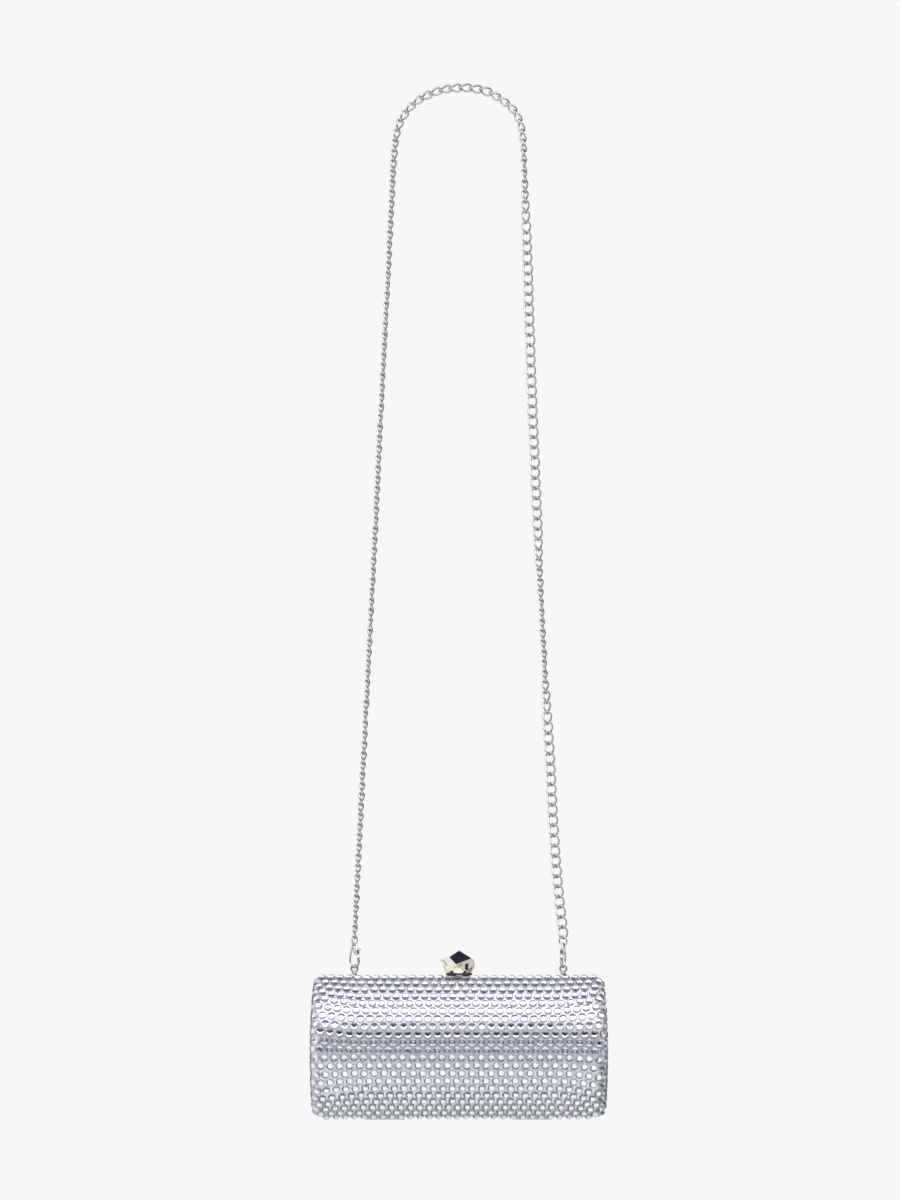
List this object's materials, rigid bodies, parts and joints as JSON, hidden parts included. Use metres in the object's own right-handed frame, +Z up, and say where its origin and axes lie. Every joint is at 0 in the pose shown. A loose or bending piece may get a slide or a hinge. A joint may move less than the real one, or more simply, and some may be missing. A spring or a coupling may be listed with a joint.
{
  "type": "box clutch bag",
  "caption": "Hard box clutch covered in round stones, hinged at the bottom, with a faceted tilt clasp and a hanging chain strap on claw clasps.",
  "frame": {"origin": "underside of the chain's crown, the point that the bag hangs from", "axes": "+Z up, +X to the right along the case's length, -Y out of the case's front"},
  "size_m": [0.1806, 0.0548, 0.6306],
  "materials": {
    "crystal": "foil-backed faceted clear stones, mirror bright",
    "shell": "plain pressed sheet",
    "lining": "silver grey satin",
    "frame": "polished nickel plate",
    "knob": "polished nickel plate",
    "hardware": "polished nickel plate",
    "steel": "plain steel",
    "chain": "nickel plated curb links"
  },
  "bodies": {
    "chain": {"chain_strap": "chain", "left_jump_ring": "hardware", "right_jump_ring": "hardware"},
    "back_half": {"back_crystal_cover": "crystal", "back_shell": "shell", "back_lining": "lining", "back_frame": "frame", "left_eye": "hardware", "right_eye": "hardware", "catch_plate": "hardware", "left_hinge_back_leaf": "hardware", "right_hinge_back_leaf": "hardware", "left_hinge_pin": "steel", "right_hinge_pin": "steel", "left_claw": "hardware", "right_claw": "hardware", "left_claw_rivet": "steel", "right_claw_rivet": "steel", "left_claw_spring": "steel", "right_claw_spring": "steel"},
    "front_half": {"front_crystal_cover": "crystal", "front_shell": "shell", "front_lining": "lining", "front_frame": "frame", "left_hinge_front_leaf": "hardware", "right_hinge_front_leaf": "hardware", "clasp_bracket": "hardware", "clasp_pin": "steel", "clasp_spring": "steel"},
    "latch": {"clasp_knob": "knob", "clasp_lever": "hardware", "clasp_screw": "steel"},
    "left_trigger_body": {"left_trigger": "hardware"},
    "right_trigger_body": {"right_trigger": "hardware"}
  },
  "joints": [
    {"name": "bag_swing", "type": "hinge", "parent": "chain", "child": "back_half", "pos_m": [0, 0, -0.517], "axis": [1, 0, 0], "range_deg": [-35, 35]},
    {"name": "lid_open", "type": "hinge", "parent": "back_half", "child": "front_half", "pos_m": [0, 0, -0.62205], "axis": [1, 0, 0], "range_deg": [0, 70]},
    {"name": "latch_tilt", "type": "hinge", "parent": "front_half", "child": "latch", "pos_m": [-0.0008, -0.0017, -0.5322], "axis": [1, 0, 0], "range_deg": [0, 12], "stiffness_Nm_per_rad": 0.05, "springref_deg": -17.19},
    {"name": "left_trigger_pull", "type": "hinge", "parent": "back_half", "child": "left_trigger_body", "pos_m": [-0.06216, -0.00149, -0.52205], "axis": [0.7431, 0.6691, 0], "range_deg": [0, 28], "stiffness_Nm_per_rad": 0.004, "springref_deg": -17.19},
    {"name": "right_trigger_pull", "type": "hinge", "parent": "back_half", "child": "right_trigger_body", "pos_m": [0.06288, -0.0019, -0.52205], "axis": [0.9511, -0.309, 0], "range_deg": [0, 28], "stiffness_Nm_per_rad": 0.004, "springref_deg": -17.19}
  ]
}
